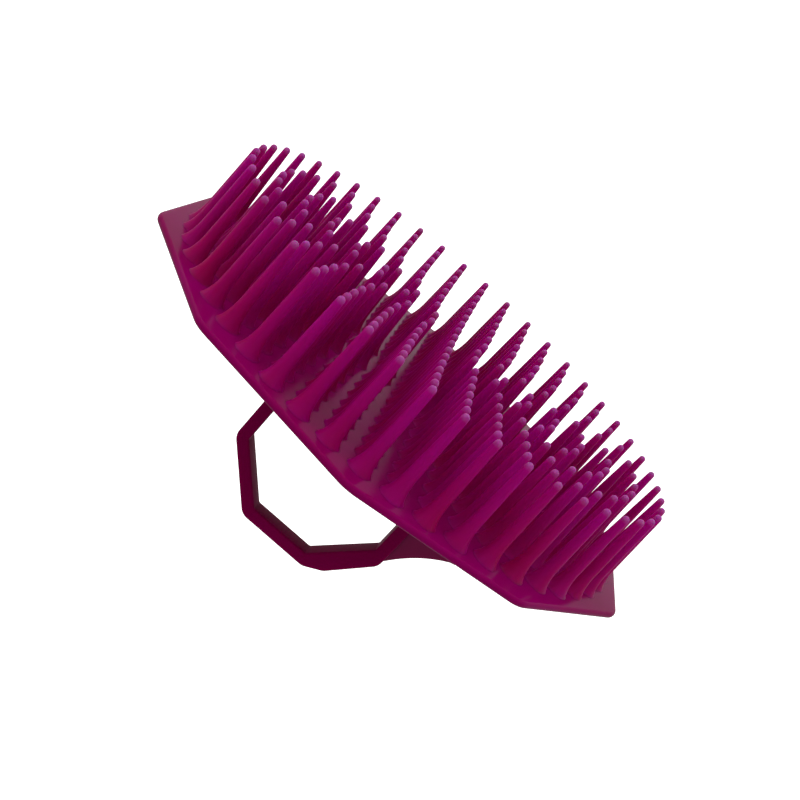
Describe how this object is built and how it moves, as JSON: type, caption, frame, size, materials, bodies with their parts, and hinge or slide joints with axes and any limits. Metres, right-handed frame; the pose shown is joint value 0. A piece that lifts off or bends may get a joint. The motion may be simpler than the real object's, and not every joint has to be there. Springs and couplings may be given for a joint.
{
  "type": "curry comb",
  "caption": "Palm-sized plastic curry comb with rings of fine tines on one face of a thin plate and a finger loop on the other.",
  "frame": {"origin": "middle of the outer face of the finger loop's crown, which is the lowest face when the tines point up", "axes": "+Z from the loop to the tine tips, along the tines; X through the loop's two legs and between two flat sides of the plate, with the web on the +X leg; Y through the loop's opening"},
  "size_m": [0.0914, 0.0956, 0.0492],
  "materials": {
    "plate_plastic": "glossy",
    "loop_plastic": "glossy",
    "tine_plastic": "glossy"
  },
  "bodies": {
    "root": {"base_plate": "plate_plastic", "finger_loop": "loop_plastic", "leg_web": "loop_plastic", "tine_centre": "tine_plastic", "tine_ring_01": "tine_plastic", "tine_ring_02": "tine_plastic", "tine_ring_03": "tine_plastic", "tine_ring_04": "tine_plastic", "tine_ring_05": "tine_plastic", "tine_ring_06": "tine_plastic", "tine_ring_07": "tine_plastic", "tine_ring_08": "tine_plastic"}
  },
  "joints": []
}
